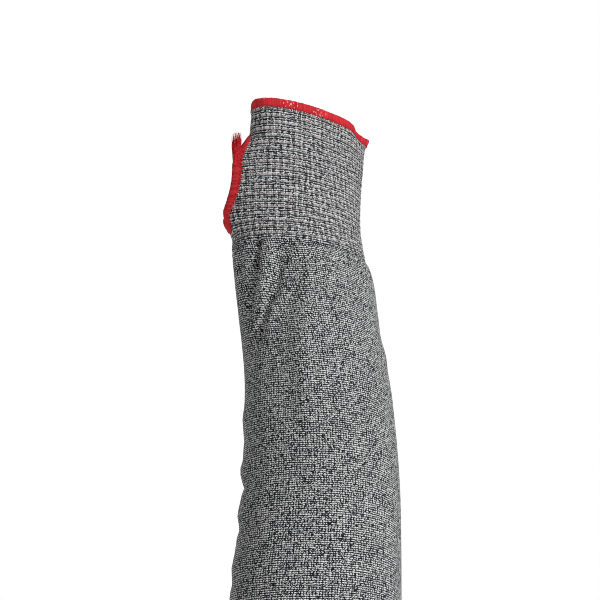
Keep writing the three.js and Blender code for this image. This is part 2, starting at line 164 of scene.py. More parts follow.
# How far folds lift the face. A fold is a chain of straight lines, of which only the nearest counts.
def foldRise(lines, angle, height, perDegree):
    rise = np.zeros(np.broadcast(angle, height).shape)
    for wide, high, points in lines:
        off = np.full(rise.shape, np.inf)
        for (head, start), (foot, end) in zip(points, points[1:]):
            drop, run = (foot - head) * form["tubeLength"], (end - start) * perDegree
            down, across = -head * form["tubeLength"] - height, turned(start, angle) * perDegree
            along = np.clip((across * run + down * drop) / (run ** 2 + drop ** 2), 0, 1)
            off = np.minimum(off, np.hypot(across - along * run, down - along * drop))
        rise += high * form["foldHeight"] * bump(off, wide * form["foldWidth"])
    return rise


slotMiddle = form["slotCentre"] * form["cuffLength"]
slotFoot = slotMiddle - form["slotLength"] / 2
slotHead = slotMiddle + form["slotLength"] / 2


# A bump at one angle of the form, with a spread towards the front, at 270 degrees, and one towards the rear
def sideBump(name, angle):
    aside = turned(form[name + "Angle"], angle)
    toFront = aside * turned(form[name + "Angle"], 270) > 0
    return bump(aside, np.where(toFront, form[name + "FrontSpread"], form[name + "RearSpread"]))


def nearRim(height, reach):        # 1 at the finger edge, falling to 0 over the reach below it
    return np.clip(1 - (form["cuffLength"] - height) / reach, 0, None)


# A point of the knit's outer face at an angle round the arm and a height, for arrays of both
def facePoint(angle, height, folds=foldLines):
    angle, height = np.broadcast_arrays(np.asarray(angle, float), np.asarray(height, float))
    cuff = cuffCurve(height / form["cuffLength"])
    tube = tubeCurve(-height / form["tubeLength"])
    above = height >= 0
    (wristB, wristD), (palmB, palmD), (armB, armD) = form["wrist"], form["palm"], form["arm"]
    long = np.where(above, wristB + (palmB - wristB) * cuff[..., 1] + form["gatherPuff"] * cuff[..., 2],
                    wristB + (armB - wristB) * tube[..., 0] + form["gatherPuff"] * tube[..., 2]) / 2
    short = np.where(above, wristD + (palmD - wristD) * cuff[..., 0],
                     wristD + (armD - wristD) * tube[..., 1]) / 2
    lean = np.where(above, form["handSway"] * cuff[..., 3], form["armSway"] * tube[..., 3])
    turn = np.where(above, cuff[..., 5], tube[..., 4])
    power = np.where(above, 2 / (2 + form["palmSquareness"] * cuff[..., 4]), 1)
    local = np.radians(angle - turn)
    cos, sin = np.cos(local), np.sin(local)
    x = long * np.sign(cos) * np.abs(cos) ** power
    y = short * np.sign(sin) * np.abs(sin) ** power
    # the folds and the turned-out rim rise square to the oval
    tuck = form["rimTuck"] * bump(turned(form["tuckAngle"], angle), form["tuckSpread"])
    flare = (form["rimFlare"] * sideBump("flare", angle) - tuck) * nearRim(height, form["flareHeight"]) ** 2
    rise = foldRise(folds, angle, height, np.radians((long + short) / 2)) + flare
    away = np.hypot(cos / long, sin / short)
    x, y = x + rise * cos / long / away, y + rise * sin / short / away
    c, s = np.cos(np.radians(turn)), np.sin(np.radians(turn))
    x, y = x * c - y * s, x * s + y * c
    # the side of the thumb slot stands out to -X
    rising = smoothStep(height, slotFoot - form["liftEase"] / 2, slotFoot + form["liftEase"] / 2)
    falling = smoothStep(height, slotHead - form["liftEase"], slotHead + form["liftEase"] / 4)
    share = np.clip((height - slotFoot) / form["slotLength"], 0, 1)
    lift = form["slotFootLift"] + (form["slotHeadLift"] - form["slotFootLift"]) * share
    x = x + lean - lift * rising * (1 - falling) * sideBump("lift", angle)
    # the finger edge dips at one angle and rises at another
    peak = form["rimPeak"] * bump(turned(form["peakAngle"], angle), form["peakSpread"])
    z = height - nearRim(height, form["dipHeight"]) ** 1.5 * (form["rimDip"] * sideBump("dip", angle) - peak)
    return np.stack([x, y, z], -1)


def unit(vectors):
    return vectors / np.linalg.norm(vectors, axis=-1, keepdims=True)


def faceOutward(angle, height, folds=foldLines):        # level, square to the face
    run = facePoint(angle + 1.5, height, folds) - facePoint(angle - 1.5, height, folds)
    return unit(np.stack([run[..., 1], -run[..., 0], np.zeros_like(run[..., 0])], -1))


def travelled(points):        # length along a line of points, up to each of them
    return np.concatenate([[0], np.cumsum(np.linalg.norm(np.diff(points, axis=0), axis=1))])


fineSteps = 1441        # four to a degree, and the first again
slotPerDegree = np.linalg.norm(facePoint(form["slotAngle"] + 1.0, slotMiddle)        # mm round the face
                               - facePoint(form["slotAngle"] - 1.0, slotMiddle)) / 2


# Angles of evenly spaced columns at each height, counted from one angle where they stand upright
def evenAngles(columns, heights, upright=270):
    fine = upright + np.linspace(0, 360, fineSteps)
    angles = np.empty((len(heights), columns))
    for row, height in enumerate(heights):
        travel = travelled(facePoint(fine, height))
        angles[row] = np.interp(np.arange(columns) / columns * travel[-1], travel, fine)
    return angles


def clearSelection():
    if bpy.context.object and bpy.context.object.mode != "OBJECT":
        bpy.ops.object.mode_set(mode="OBJECT")
    bpy.ops.object.select_all(action="DESELECT")


def only(piece):
    clearSelection()
    piece.select_set(True)
    bpy.context.view_layer.objects.active = piece


# Selects the faces or the edges that pass a test, and leaves the piece in edit mode
def selectParts(piece, faces, test):
    only(piece)
    bpy.context.tool_settings.mesh_select_mode = (False, not faces, faces)
    bpy.ops.object.mode_set(mode="EDIT")
    bpy.ops.mesh.select_all(action="DESELECT")
    cage = bmesh.from_edit_mesh(piece.data)
    for part in cage.faces if faces else cage.edges:
        part.select_set(bool(test(part)))
    bmesh.update_edit_mesh(piece.data)


def readVertices(piece):
    spots = np.empty(len(piece.data.vertices) * 3)
    piece.data.vertices.foreach_get("co", spots)
    return spots.reshape(-1, 3)


def writeVertices(piece, spots):
    piece.data.vertices.foreach_set("co", np.ascontiguousarray(spots, dtype=np.float32).ravel())
    piece.data.update()


# An open cylinder cut into rows, with the column and row of each vertex
def addSleeve(name, columns, rows):
    clearSelection()
    bpy.ops.mesh.primitive_cylinder_add(vertices=columns, radius=1, depth=2, end_fill_type="NOTHING",
                                        calc_uvs=False)
    piece = bpy.context.object
    piece.name = piece.data.name = name
    selectParts(piece, False, lambda edge: abs(edge.verts[0].co.z - edge.verts[1].co.z) > 1)
    bpy.ops.mesh.subdivide(number_cuts=rows - 1)
    bpy.ops.object.mode_set(mode="OBJECT")
    spots = readVertices(piece)
    column = np.rint(np.arctan2(spots[:, 1], spots[:, 0]) / (2 * math.pi) * columns).astype(int) % columns
    row = np.rint((spots[:, 2] + 1) / 2 * rows).astype(int)
    return piece, column, row


# A torus cut finely along its ring, with the place along and round of each vertex
def addRing(name, along, cuts, around):
    def crossesSegment(edge):
        first, second = (math.atan2(vert.co.y, vert.co.x) for vert in edge.verts)
        return abs(math.remainder(first - second, 2 * math.pi)) > math.pi / along

    clearSelection()
    bpy.ops.mesh.primitive_torus_add(major_segments=along, minor_segments=around, major_radius=1,
                                     minor_radius=0.25, generate_uvs=False)
    piece = bpy.context.object
    piece.name = piece.data.name = name
    selectParts(piece, False, crossesSegment)
    bpy.ops.mesh.subdivide(number_cuts=cuts)
    bpy.ops.object.mode_set(mode="OBJECT")
    spots = readVertices(piece)
    turn = np.arctan2(spots[:, 1], spots[:, 0])
    start = np.floor(turn / (2 * math.pi) * along + 1e-4)        # a hair more, so that no corner falls short
    a, b = start / along * 2 * math.pi, (start + 1) / along * 2 * math.pi
    reach = np.hypot(spots[:, 0], spots[:, 1])
    x, y = spots[:, 0] / reach, spots[:, 1] / reach
    # chords are straight, so the share along each is exact
    cross = (np.cos(a) * y - np.sin(a) * x) / ((np.cos(a) - np.cos(b)) * y - (np.sin(a) - np.sin(b)) * x)
    total = along * (cuts + 1)
    spot = np.rint((start + cross) * (cuts + 1)).astype(int) % total
    # a chord pulls inwards, so the ring's own radius is found again before the place round it
    chord = np.hypot(np.cos(a) + (np.cos(b) - np.cos(a)) * cross, np.sin(a) + (np.sin(b) - np.sin(a)) * cross)
    side = np.rint(np.arctan2(spots[:, 2], reach / chord - 1) / (2 * math.pi) * around).astype(int) % around
    return piece, spot, side, total


# Values of the vertices at each corner of the quads. Numbers that close round the piece after a
# count run on past it in the quads that close the ring.
def atCorners(piece, values, closing=0):
    corners = np.empty(len(piece.data.loops), int)
    piece.data.loops.foreach_get("vertex_index", corners)
    picked = values[corners.reshape(-1, 4)].astype(float)
    if closing:
        split = picked.max(1) - picked.min(1) > 2
        picked[(picked < closing / 2) & split[:, None]] += closing
    return picked.ravel()


def writeMap(piece, name, first, second):        # the piece's own UV map
    piece.data.uv_layers.new(name=name).data.foreach_set("uv", np.stack([first, second], -1).ravel())


def applyWall(piece, wall):        # inwards from the outer face
    wall.offset = -1
    only(piece)
    bpy.ops.object.modifier_apply(modifier=wall.name)
    bpy.ops.object.shade_smooth()


def newMaterial(name, roughness, sheen=0.0):
    material = bpy.data.materials.new(name)
    material.use_nodes = True
    shader = material.node_tree.nodes["Principled BSDF"]
    shader.inputs["Roughness"].default_value = roughness
    shader.inputs["Specular IOR Level"].default_value = 0.15        # yarn and thread hardly shine
    shader.inputs["Sheen Weight"].default_value = sheen
    shader.inputs["Sheen Roughness"].default_value = 0.5
    return material, material.node_tree, shader


def feed(tree, node, values):
    for socket, value in zip(node.inputs, values):
        if isinstance(value, (int, float)):
            socket.default_value = value
        else:
            tree.links.new(value, socket)


# A Math node from numbers and sockets
def calc(tree, operation, *values, clamp=False):
    node = tree.nodes.new("ShaderNodeMath")
    node.operation = operation
    node.use_clamp = clamp
    feed(tree, node, values)
    return node.outputs[0]


def wave(tree, kind, value, halfTurns=1, offset=0.0):        # |sine| or |cosine|
    turn = calc(tree, "MULTIPLY_ADD", value, halfTurns * math.pi, offset)
    return calc(tree, "ABSOLUTE", calc(tree, kind, turn))


def readMap(tree, name):
    uv = tree.nodes.new("ShaderNodeUVMap")
    uv.uv_map = name
    split = tree.nodes.new("ShaderNodeSeparateXYZ")
    tree.links.new(uv.outputs[0], split.inputs[0])
    return split.outputs[0], split.outputs[1]


def joined(tree, x, y):
    node = tree.nodes.new("ShaderNodeCombineXYZ")
    feed(tree, node, (x, y))
    return node.outputs[0]


def scaled(tree, u, v, scales):
    return joined(tree, calc(tree, "MULTIPLY", u, scales[0]), calc(tree, "MULTIPLY", v, scales[1]))


def noise(tree, vector, scale=1.0, detail=2.0):
    node = tree.nodes.new("ShaderNodeTexNoise")
    tree.links.new(vector, node.inputs["Vector"])
    node.inputs["Scale"].default_value = scale
    node.inputs["Detail"].default_value = detail
    return node.outputs[0]


# Adds a soft noise, up to half the amount either way
def wander(tree, value, vector, amount):
    soft = calc(tree, "SUBTRACT", noise(tree, vector, detail=1.0), 0.5)
    return calc(tree, "MULTIPLY_ADD", soft, amount, value)


def speckle(tree, x, y):        # a different number for each pair of whole numbers
    node = tree.nodes.new("ShaderNodeTexWhiteNoise")
    node.noise_dimensions = "2D"
    tree.links.new(joined(tree, x, y), node.inputs["Vector"])
    return node.outputs[0]


def ramp(tree, value, places, colours):
    node = tree.nodes.new("ShaderNodeValToRGB")
    while len(node.color_ramp.elements) < len(places):
        node.color_ramp.elements.new(0.5)
    for element, place, colour in zip(node.color_ramp.elements, places, colours):
        element.position = place
        element.color = (*colour, 1)
    tree.links.new(value, node.inputs[0])
    return node.outputs[0]


def overlay(tree, share, under, colour):
    node = tree.nodes.new("ShaderNodeMix")
    node.data_type = "RGBA"
    tree.links.new(share, node.inputs[0])
    tree.links.new(under, node.inputs[6])
    node.inputs[7].default_value = (*colour, 1)
    return node.outputs[2]


def emboss(tree, shader, height, depth):
    node = tree.nodes.new("ShaderNodeBump")
    node.inputs["Distance"].default_value = depth
    tree.links.new(height, node.inputs["Height"])
    tree.links.new(node.outputs[0], shader.inputs["Normal"])


# Salt and pepper yarn: most of it changes within a stitch, some from stitch to stitch
def marl(tree, wale, course, finer, whole):
    across, up = (calc(tree, "FLOOR", calc(tree, "MULTIPLY", value, scale))
                  for value, scale in zip((wale, course), finer))
    stitch = speckle(tree, calc(tree, "FLOOR", wale), calc(tree, "FLOOR", course))
    return calc(tree, "ADD", calc(tree, "MULTIPLY", speckle(tree, across, up), 1 - whole),
                calc(tree, "MULTIPLY", stitch, whole))


# The waffle knit of the palm cuff. Tones are (share, start) of a pattern on the yarn's scale of tones.
waffle = {
    "columns": 360, "rows": 129,                        # quads round and up
    "cells": 60, "ridgePitch": 3.73,                    # ribs round the hand, mm between ridges
    "stitches": 3, "beadsToCell": 4,
    "wall": 1.6, "relief": 0.42, "ribShare": 0.6, "level": 0.75, "foot": 0.05,
    "plain": (4.5, 8.0), "ease": 5.0, "snap": 0.45,     # mm from an edge, from the tube, from the slot
    "darkYarn": (0.005, 0.008, 0.014), "midYarn": (0.15, 0.165, 0.178), "lightYarn": (0.7, 0.71, 0.7),
    "places": (0.14, 0.42, 0.78), "finer": (1.7, 2.0), "whole": 0.15,
    # the colour for the tops of the ridges is a painted highlight, and the warm dark colour under them a
    # painted shade
    "paintedHighlightColour": (0.76, 0.745, 0.71), "ridgeShadow": (0.14, 0.07, 0.04), "ridgeShadowDrop": 0.62,
    "ridgeSharpness": 14.0, "ribSharpness": 3.0, "stitchSharpness": 1.3,
    "wobble": 0.25, "wobbleScale": (0.7, 0.9), "beads": (0.6, 0.4),
    "yarnTone": (0.85, -0.545), "ribTone": 0.24, "stitchTone": 0.75, "ridgeHighlightTone": 0.12,
    "paintedHighlightTone": (0.75, -0.1), "paintedHighlightFade": (1.2, -0.2), "ridgeShadowTone": 0.8,
    "roughness": 0.95, "bumpDepth": 0.0003,
}


def waffleMaterial():
    material, tree, shader = newMaterial("waffleKnit", waffle["roughness"])
    u, v = readMap(tree, "knit")
    v = wander(tree, v, scaled(tree, u, v, waffle["wobbleScale"]), waffle["wobble"])
    ridge = calc(tree, "POWER", wave(tree, "COSINE", v), waffle["ridgeSharpness"])
    under = wave(tree, "COSINE", v, offset=waffle["ridgeShadowDrop"])
    under = calc(tree, "POWER", under, waffle["ridgeSharpness"])
    rib = calc(tree, "POWER", wave(tree, "COSINE", u), waffle["ribSharpness"])
    stitches = waffle["stitches"]
    yarn = marl(tree, calc(tree, "MULTIPLY", u, stitches), calc(tree, "MULTIPLY", v, stitches),
                waffle["finer"], waffle["whole"])
    strand = calc(tree, "POWER", wave(tree, "SINE", v, stitches), waffle["stitchSharpness"])
    bead = wave(tree, "SINE", u, waffle["beadsToCell"])
    stitch = calc(tree, "MULTIPLY", strand, calc(tree, "MULTIPLY_ADD", bead, *waffle["beads"]))
    tone = calc(tree, "MULTIPLY_ADD", yarn, *waffle["yarnTone"])
    tone = calc(tree, "MULTIPLY_ADD", rib, waffle["ribTone"], tone)
    tone = calc(tree, "MULTIPLY_ADD", stitch, waffle["stitchTone"], tone)
    # painted highlight: the ridges a little lighter
    tone = calc(tree, "MULTIPLY_ADD", ridge, waffle["ridgeHighlightTone"], tone)
    colour = ramp(tree, tone, waffle["places"], (waffle["darkYarn"], waffle["midYarn"], waffle["lightYarn"]))
    # painted highlight: pale yarn on the tops of the ridges, broken up by the marl and fading out at the
    # wrist, and painted shade: a warm dark band under each ridge
    paintedHighlight = calc(tree, "MULTIPLY", ridge, calc(tree, "MULTIPLY_ADD", yarn, *waffle["paintedHighlightTone"]), clamp=True)
    paintedHighlight = calc(tree, "MULTIPLY", paintedHighlight, calc(tree, "MULTIPLY_ADD", v, *waffle["paintedHighlightFade"], clamp=True))
    colour = overlay(tree, paintedHighlight, colour, waffle["paintedHighlightColour"])
    # painted shade: a warm dark band just under each ridge, deepest on the pale yarn
    shade = calc(tree, "MULTIPLY", under, calc(tree, "MULTIPLY", yarn, waffle["ridgeShadowTone"]), clamp=True)
    colour = overlay(tree, shade, colour, waffle["ridgeShadow"])
    tree.links.new(colour, shader.inputs["Base Color"])
    emboss(tree, shader, stitch, waffle["bumpDepth"])
    return material


def makeCuff():
    columns, rows, pitch = waffle["columns"], waffle["rows"], waffle["ridgePitch"]
    piece, column, row = addSleeve("waffleCuff", columns, rows)
    heights = np.linspace(waffle["foot"], form["cuffLength"], rows + 1)
    angles = evenAngles(columns, heights)
    height = np.repeat(heights[:, None], columns, 1)
    # vertices next to the slot's oval move onto it
    aside, up = turned(form["slotAngle"], angles) * slotPerDegree, height - slotMiddle
    reach = np.hypot(aside / (form["slotWidth"] / 2), up / (form["slotLength"] / 2))
    inward = 1 / np.maximum(reach, 1e-6)
    close = np.hypot(aside, up) * np.abs(1 - inward) < waffle["snap"]
    angles = np.where(close, form["slotAngle"] + aside * inward / slotPerDegree, angles)
    height = np.where(close, slotMiddle + up * inward, height)
    # ridges along the rows and ribs up the hand, pressed flat where an edge is overlocked
    ridge = np.abs(np.cos(np.pi * (heights / pitch)[:, None])) ** 4
    rib = np.abs(np.cos(np.pi * (np.arange(columns)[None] / columns * waffle["cells"]))) ** 2
    edge = (smoothStep(form["cuffLength"] - height, *waffle["plain"])
            * smoothStep(np.abs(reach - 1) * form["slotWidth"] / 2, *waffle["plain"]))
    relief = (waffle["relief"] * (np.maximum(ridge, waffle["ribShare"] * rib) - waffle["level"]) * edge
              * smoothStep(height, 0, waffle["ease"]))
    folds = foldLines + tuckLines
    spots = facePoint(angles, height, folds) + faceOutward(angles, height, folds) * relief[..., None]
    writeVertices(piece, spots[row, column] * mm)
    writeMap(piece, "knit", atCorners(piece, column, columns) * (waffle["cells"] / columns),
             atCorners(piece, row) * ((heights[1] - heights[0]) / pitch))
    # the thumb slot is cut out: a face goes if it reaches inside the oval
    inside = np.where(reach < 0.999, reach, 1.0)[row, column]
    selectParts(piece, True, lambda face: sum(inside[vert.index] for vert in face.verts) / 4 < 0.9995)
    bpy.ops.mesh.delete(type="FACE")
    bpy.ops.object.mode_set(mode="OBJECT")
    wall = piece.modifiers.new("wall", "SOLIDIFY")
    wall.thickness = waffle["wall"] * mm
    applyWall(piece, wall)
    piece.data.materials.append(waffleMaterial())
    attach(piece, "root")
    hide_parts("palm_cuff")
    print("waffle cuff", len(piece.data.polygons), "faces")


# The plain marl knit of the arm tube
jersey = {
    "columns": 232, "rows": 198, "crowding": (0.45, 1.8),       # rows lie closer together near the wrist
    "wales": 172, "coursePitch": 1.17,
    "wall": 1.3, "weltWall": 2.0, "weltHeight": 14.0, "top": -0.05,
    "weltDent": (0.35, 1.2), "edgeDent": (0.25, 0.8),           # mm deep and mm wide
    "sag": 6.0, "sagAngle": 12.0, "sagSpread": 42.0, "sagEase": 60.0,
    "ridges": 2.6, "ridgeSharpness": 10.0, "ridgeHighlightTone": 0.35, "ridgeStart": -3.0, "paintedShadeUnderCuff": -0.12,
    "darkYarn": (0.006, 0.007, 0.009), "midYarn": (0.15, 0.155, 0.16), "lightYarn": (0.72, 0.72, 0.72),
    "places": (0.16, 0.4, 0.72), "finer": (3.0, 2.2), "whole": 0.0,
    "sway": 0.8, "swayScale": (0.12, 0.12), "shift": 1.1, "shiftScale": (0.4, 0.25),
    "legSlant": 0.18, "wideLegs": (0.8, 0.2), "stitchSharpness": 1.6,
    "stitchTone": (1.2, 0.28), "yarnTone": (0.5, -0.215),
    "streakTone": 0.35, "streakAcross": (0.55, -0.4), "streakUp": (0.08, 0.09),
    "roughness": 0.95, "bumpDepth": 0.0004,
}


def jerseyMaterial():
    material, tree, shader = newMaterial("marlJersey", jersey["roughness"])
    u, v = readMap(tree, "knit")
    v = wander(tree, v, scaled(tree, u, v, jersey["swayScale"]), jersey["sway"])
    u = wander(tree, u, scaled(tree, u, v, jersey["shiftScale"]), jersey["shift"])
    # the two legs of a stitch lean together
    leg = calc(tree, "ABSOLUTE", calc(tree, "MULTIPLY_ADD", calc(tree, "FRACT", u), 2.0, -1.0))
    slant = calc(tree, "MULTIPLY_ADD", leg, jersey["legSlant"], v)
    across = calc(tree, "MULTIPLY_ADD", wave(tree, "SINE", u), *jersey["wideLegs"])
    along = calc(tree, "SINE", calc(tree, "MULTIPLY", calc(tree, "FRACT", slant), math.pi))
    stitch = calc(tree, "MULTIPLY", across, calc(tree, "POWER", along, jersey["stitchSharpness"]))
    yarn = marl(tree, u, slant, jersey["finer"], jersey["whole"])
    tone = calc(tree, "MULTIPLY_ADD", stitch, calc(tree, "MULTIPLY_ADD", yarn, *jersey["stitchTone"]),
                calc(tree, "MULTIPLY_ADD", yarn, *jersey["yarnTone"]))
    (acrossU, acrossV), (upU, upV) = jersey["streakAcross"], jersey["streakUp"]
    streak = joined(tree, calc(tree, "MULTIPLY_ADD", u, acrossU, calc(tree, "MULTIPLY", v, acrossV)),
                    calc(tree, "MULTIPLY_ADD", v, upV, calc(tree, "MULTIPLY", u, upU)))
    tone = wander(tree, tone, streak, jersey["streakTone"])
    # the last ridges of the waffle fade into the plain knit, with a painted highlight on them, and painted
    # shade darkens the knit just under the cuff
    drop, _ = readMap(tree, "drop")
    fade = calc(tree, "MULTIPLY_ADD", drop, 1 / jersey["ridges"], 1.0, clamp=True)
    ridge = calc(tree, "POWER", wave(tree, "COSINE", drop), jersey["ridgeSharpness"])
    below = calc(tree, "MULTIPLY", drop, jersey["ridgeStart"], clamp=True)
    ridge = calc(tree, "MULTIPLY", calc(tree, "MULTIPLY", ridge, fade), below)
    tone = calc(tree, "MULTIPLY_ADD", ridge, jersey["ridgeHighlightTone"], tone)
    # painted shade just under the cuff
    tone = calc(tree, "MULTIPLY_ADD", fade, jersey["paintedShadeUnderCuff"], tone)
    colour = ramp(tree, tone, jersey["places"], (jersey["darkYarn"], jersey["midYarn"], jersey["lightYarn"]))
    tree.links.new(colour, shader.inputs["Base Color"])
    emboss(tree, shader, stitch, jersey["bumpDepth"])
    return material


def makeTube():
    columns, rows, pitch = jersey["columns"], jersey["rows"], waffle["ridgePitch"]
    piece, column, row = addSleeve("marlTube", columns, rows)
    share = np.linspace(1, 0, rows + 1)
    even, power = jersey["crowding"]
    share = even * share + (1 - even) * share ** power
    heights = jersey["top"] - (form["tubeLength"] + jersey["top"]) * share
    angles = evenAngles(columns, heights)
    height = np.repeat(heights[:, None], columns, 1)
    # a dent where the hem of the lower end is knitted in, and the last ridges of the waffle
    foot = height + form["tubeLength"]
    (weltDeep, weltWide), (edgeDeep, edgeWide) = jersey["weltDent"], jersey["edgeDent"]
    hem = -weltDeep * bump(foot - jersey["weltHeight"], weltWide) - edgeDeep * bump(foot, edgeWide)
    fade = np.clip(1 + height / pitch / jersey["ridges"], 0, 1)
    ridge = (waffle["relief"] * (np.abs(np.cos(np.pi * height / pitch)) ** 4 - waffle["level"]) * fade
             * smoothStep(-height, 0, 2))
    folds = foldLines + tuckLines
    spots = facePoint(angles, height, folds) + faceOutward(angles, height, folds) * (hem + ridge)[..., None]
    writeVertices(piece, spots[row, column] * mm)
    # courses are counted up from the hem, and sag a little along the side of the little finger
    sag = jersey["sag"] * bump(turned(jersey["sagAngle"], angles), jersey["sagSpread"])
    courses = (foot + sag * smoothStep(foot, 0, jersey["sagEase"])) / jersey["coursePitch"]
    writeMap(piece, "knit", atCorners(piece, column, columns) * (jersey["wales"] / columns),
             atCorners(piece, courses[row, column]))
    drop = atCorners(piece, (height / pitch)[row, column])
    writeMap(piece, "drop", drop, drop)
    thick = piece.vertex_groups.new(name="thick")
    thick.add(range(len(piece.data.vertices)), 0.0, "REPLACE")
    thick.add(np.nonzero(foot[row, column] < jersey["weltHeight"])[0].tolist(), 1.0, "REPLACE")
    wall = piece.modifiers.new("wall", "SOLIDIFY")
    wall.thickness = jersey["weltWall"] * mm
    wall.vertex_group, wall.thickness_vertex_group = "thick", jersey["wall"] / jersey["weltWall"]
    applyWall(piece, wall)
    piece.data.materials.append(jerseyMaterial())
    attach(piece, "root")
    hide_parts("arm_tube")
    print("marl tube", len(piece.data.polygons), "faces")


# The red overlocked edges
overlock = {
    "reach": 1.0, "lap": 4.1, "halfThickness": 1.7, "lapThickness": 1.15, "squareness": 0.72,
    "wrapHeight": 0.1, "slant": 0.35, "unevenness": 0.16, "unevenLift": 0.35, "unevenCrown": 0.3,
    "waves": 14, "waveCounts": (3, 60),
    "fingerSegments": 230, "fingerWraps": 460, "fingerSeed": 5,
    "slotSegments": 128, "slotWraps": 256, "slotSeed": 9, "perWrap": 6, "around": 14,
    "thread": (0.52, 0.013, 0.02), "deepThread": (0.22, 0.004, 0.007), "paleThread": (0.8, 0.05, 0.06),
    "places": (0.25, 0.55, 0.85), "patchScale": (0.06, 3.0), "fibreScale": (5.0, 60.0),
    "grooveShade": 0.35, "eachTone": 0.25, "patchTone": 0.3, "fibreTone": 0.2,
    "bareYarn": (0.62, 0.58, 0.58), "bareSpots": [(0.62, 0.006), (0.693, 0.028), (0.795, 0.03)],
    "flecks": 22.0, "bareShare": 0.17, "bareMix": 0.7,
    "roughness": 0.85, "sheen": 0.05, "bumpDepth": 0.00012, "grooveBump": 0.6,
    "slotSwellings": [(1.15, 0.2, 0.05), (0.6, 0.755, 0.025)],        # mm, share of the way round and spread
    "chainRadius": 0.2, "chainSwing": 0.35, "chainInset": 0.15, "chainOut": (0.28, 0.25),
    "fingerLoops": 100, "slotLoops": 52, "loopPoints": 8,
    "plainPlaces": (0.25, 0.5, 0.8), "plainScale": 900.0,
}
threadShades = (overlock["deepThread"], overlock["thread"], overlock["paleThread"])


def overlockMaterial(name, wraps, bareSpots):
    material, tree, shader = newMaterial(name, overlock["roughness"], overlock["sheen"])
    u, v = readMap(tree, "thread")
    wrap = calc(tree, "FLOOR", u)
    groove = wave(tree, "SINE", u)
    halfWrap = calc(tree, "FLOOR", calc(tree, "MULTIPLY", v, 2.0))
    each = speckle(tree, wrap, halfWrap)
    patch = noise(tree, scaled(tree, u, v, overlock["patchScale"]))
    fibre = noise(tree, scaled(tree, u, v, overlock["fibreScale"]))
    # painted shade: darker in the grooves between the wraps
    tone = calc(tree, "MULTIPLY_ADD", groove, overlock["grooveShade"],
                calc(tree, "MULTIPLY", each, overlock["eachTone"]))
    tone = calc(tree, "MULTIPLY_ADD", patch, overlock["patchTone"], tone)
    tone = calc(tree, "MULTIPLY_ADD", fibre, overlock["fibreTone"], tone)
    colour = ramp(tree, tone, overlock["places"], threadShades)
    # places where the pale yarn of the knit shows between the wraps
    fleck = speckle(tree, wrap, calc(tree, "FLOOR", calc(tree, "MULTIPLY", v, overlock["flecks"])))
    for place, half in bareSpots:
        off = calc(tree, "ABSOLUTE", calc(tree, "MULTIPLY_ADD", u, 1 / wraps, -place))
        near = calc(tree, "MULTIPLY_ADD", off, -1 / half, 1.0, clamp=True)
        bare = calc(tree, "LESS_THAN", fleck, calc(tree, "MULTIPLY", near, overlock["bareShare"]))
        bare = calc(tree, "MULTIPLY", bare, overlock["bareMix"])
        colour = overlay(tree, bare, colour, overlock["bareYarn"])
    tree.links.new(colour, shader.inputs["Base Color"])
    relief = calc(tree, "MULTIPLY_ADD", groove, overlock["grooveBump"], fibre)
    emboss(tree, shader, relief, overlock["bumpDepth"])
    return material


# A band of thread wrapped over the knit's edge. place gives the point that lies so far along the
# knit from its edge and so far out from the middle of its wall.
def makeBand(name, segments, wraps, place, seed, swellings, material):
    around, power, unevenness = overlock["around"], overlock["squareness"], overlock["unevenness"]
    piece, spot, side, total = addRing(name, segments, overlock["perWrap"] * wraps // segments - 1, around)
    lumps = random.Random(seed)
    waves = [(lumps.randint(*overlock["waveCounts"]), lumps.uniform(0, 2 * math.pi), lumps.uniform(0.3, 1))
             for _ in range(overlock["waves"])]
    share = spot / total
    uneven = sum(size * np.sin(2 * math.pi * count * share + phase) for count, phase, size in waves) / 3
    turn = 2 * math.pi * side / around
    across, along = np.sin(turn), np.cos(turn)        # along 1 is the crown, -1 the end of the lap
    groove = np.abs(np.sin(math.pi * (share * wraps + overlock["slant"] * across)))
    lift = overlock["wrapHeight"] * (groove - 0.5) + unevenness * overlock["unevenLift"] * uneven
    lift = lift + sum(high * bump(share - middle, spread) for high, middle, spread in swellings)
    middle, half = (overlock["reach"] - overlock["lap"]) / 2, (overlock["reach"] + overlock["lap"]) / 2
    flat = np.sign(along) * np.abs(along) ** power
    thick = overlock["lapThickness"] + (overlock["halfThickness"] - overlock["lapThickness"]) * (flat + 1) / 2
    out = np.sign(across) * np.abs(across) ** power * (thick + lift)
    reach = (middle + flat * (half + lift)
             + unevenness * uneven * np.where(along < 0, 1, overlock["unevenCrown"]))
    writeVertices(piece, place(share, reach, out) * mm)
    writeMap(piece, "thread", atCorners(piece, spot, total) * (wraps / total),
             atCorners(piece, side, around) * (1 / around))
    only(piece)
    bpy.ops.object.mode_set(mode="EDIT")
    bpy.ops.mesh.select_all(action="SELECT")
    bpy.ops.mesh.normals_make_consistent(inside=False)
    bpy.ops.object.mode_set(mode="OBJECT")
    bpy.ops.object.shade_smooth()
    piece.data.materials.append(material)
    return piece


def fingerPlace(share, reach, out):
    fine = np.linspace(0, 360, fineSteps)
    travel = travelled(facePoint(fine, form["cuffLength"]))
    angle = np.interp(share * travel[-1], travel, fine)
    climb = unit(facePoint(angle, form["cuffLength"]) - facePoint(angle, form["cuffLength"] - 1.0))
    spot = facePoint(angle, form["cuffLength"] + np.minimum(reach, 0))
    spot = spot + climb * np.maximum(reach, 0)[..., None]
    return spot + faceOutward(angle, form["cuffLength"]) * (out - waffle["wall"] / 2)[..., None]


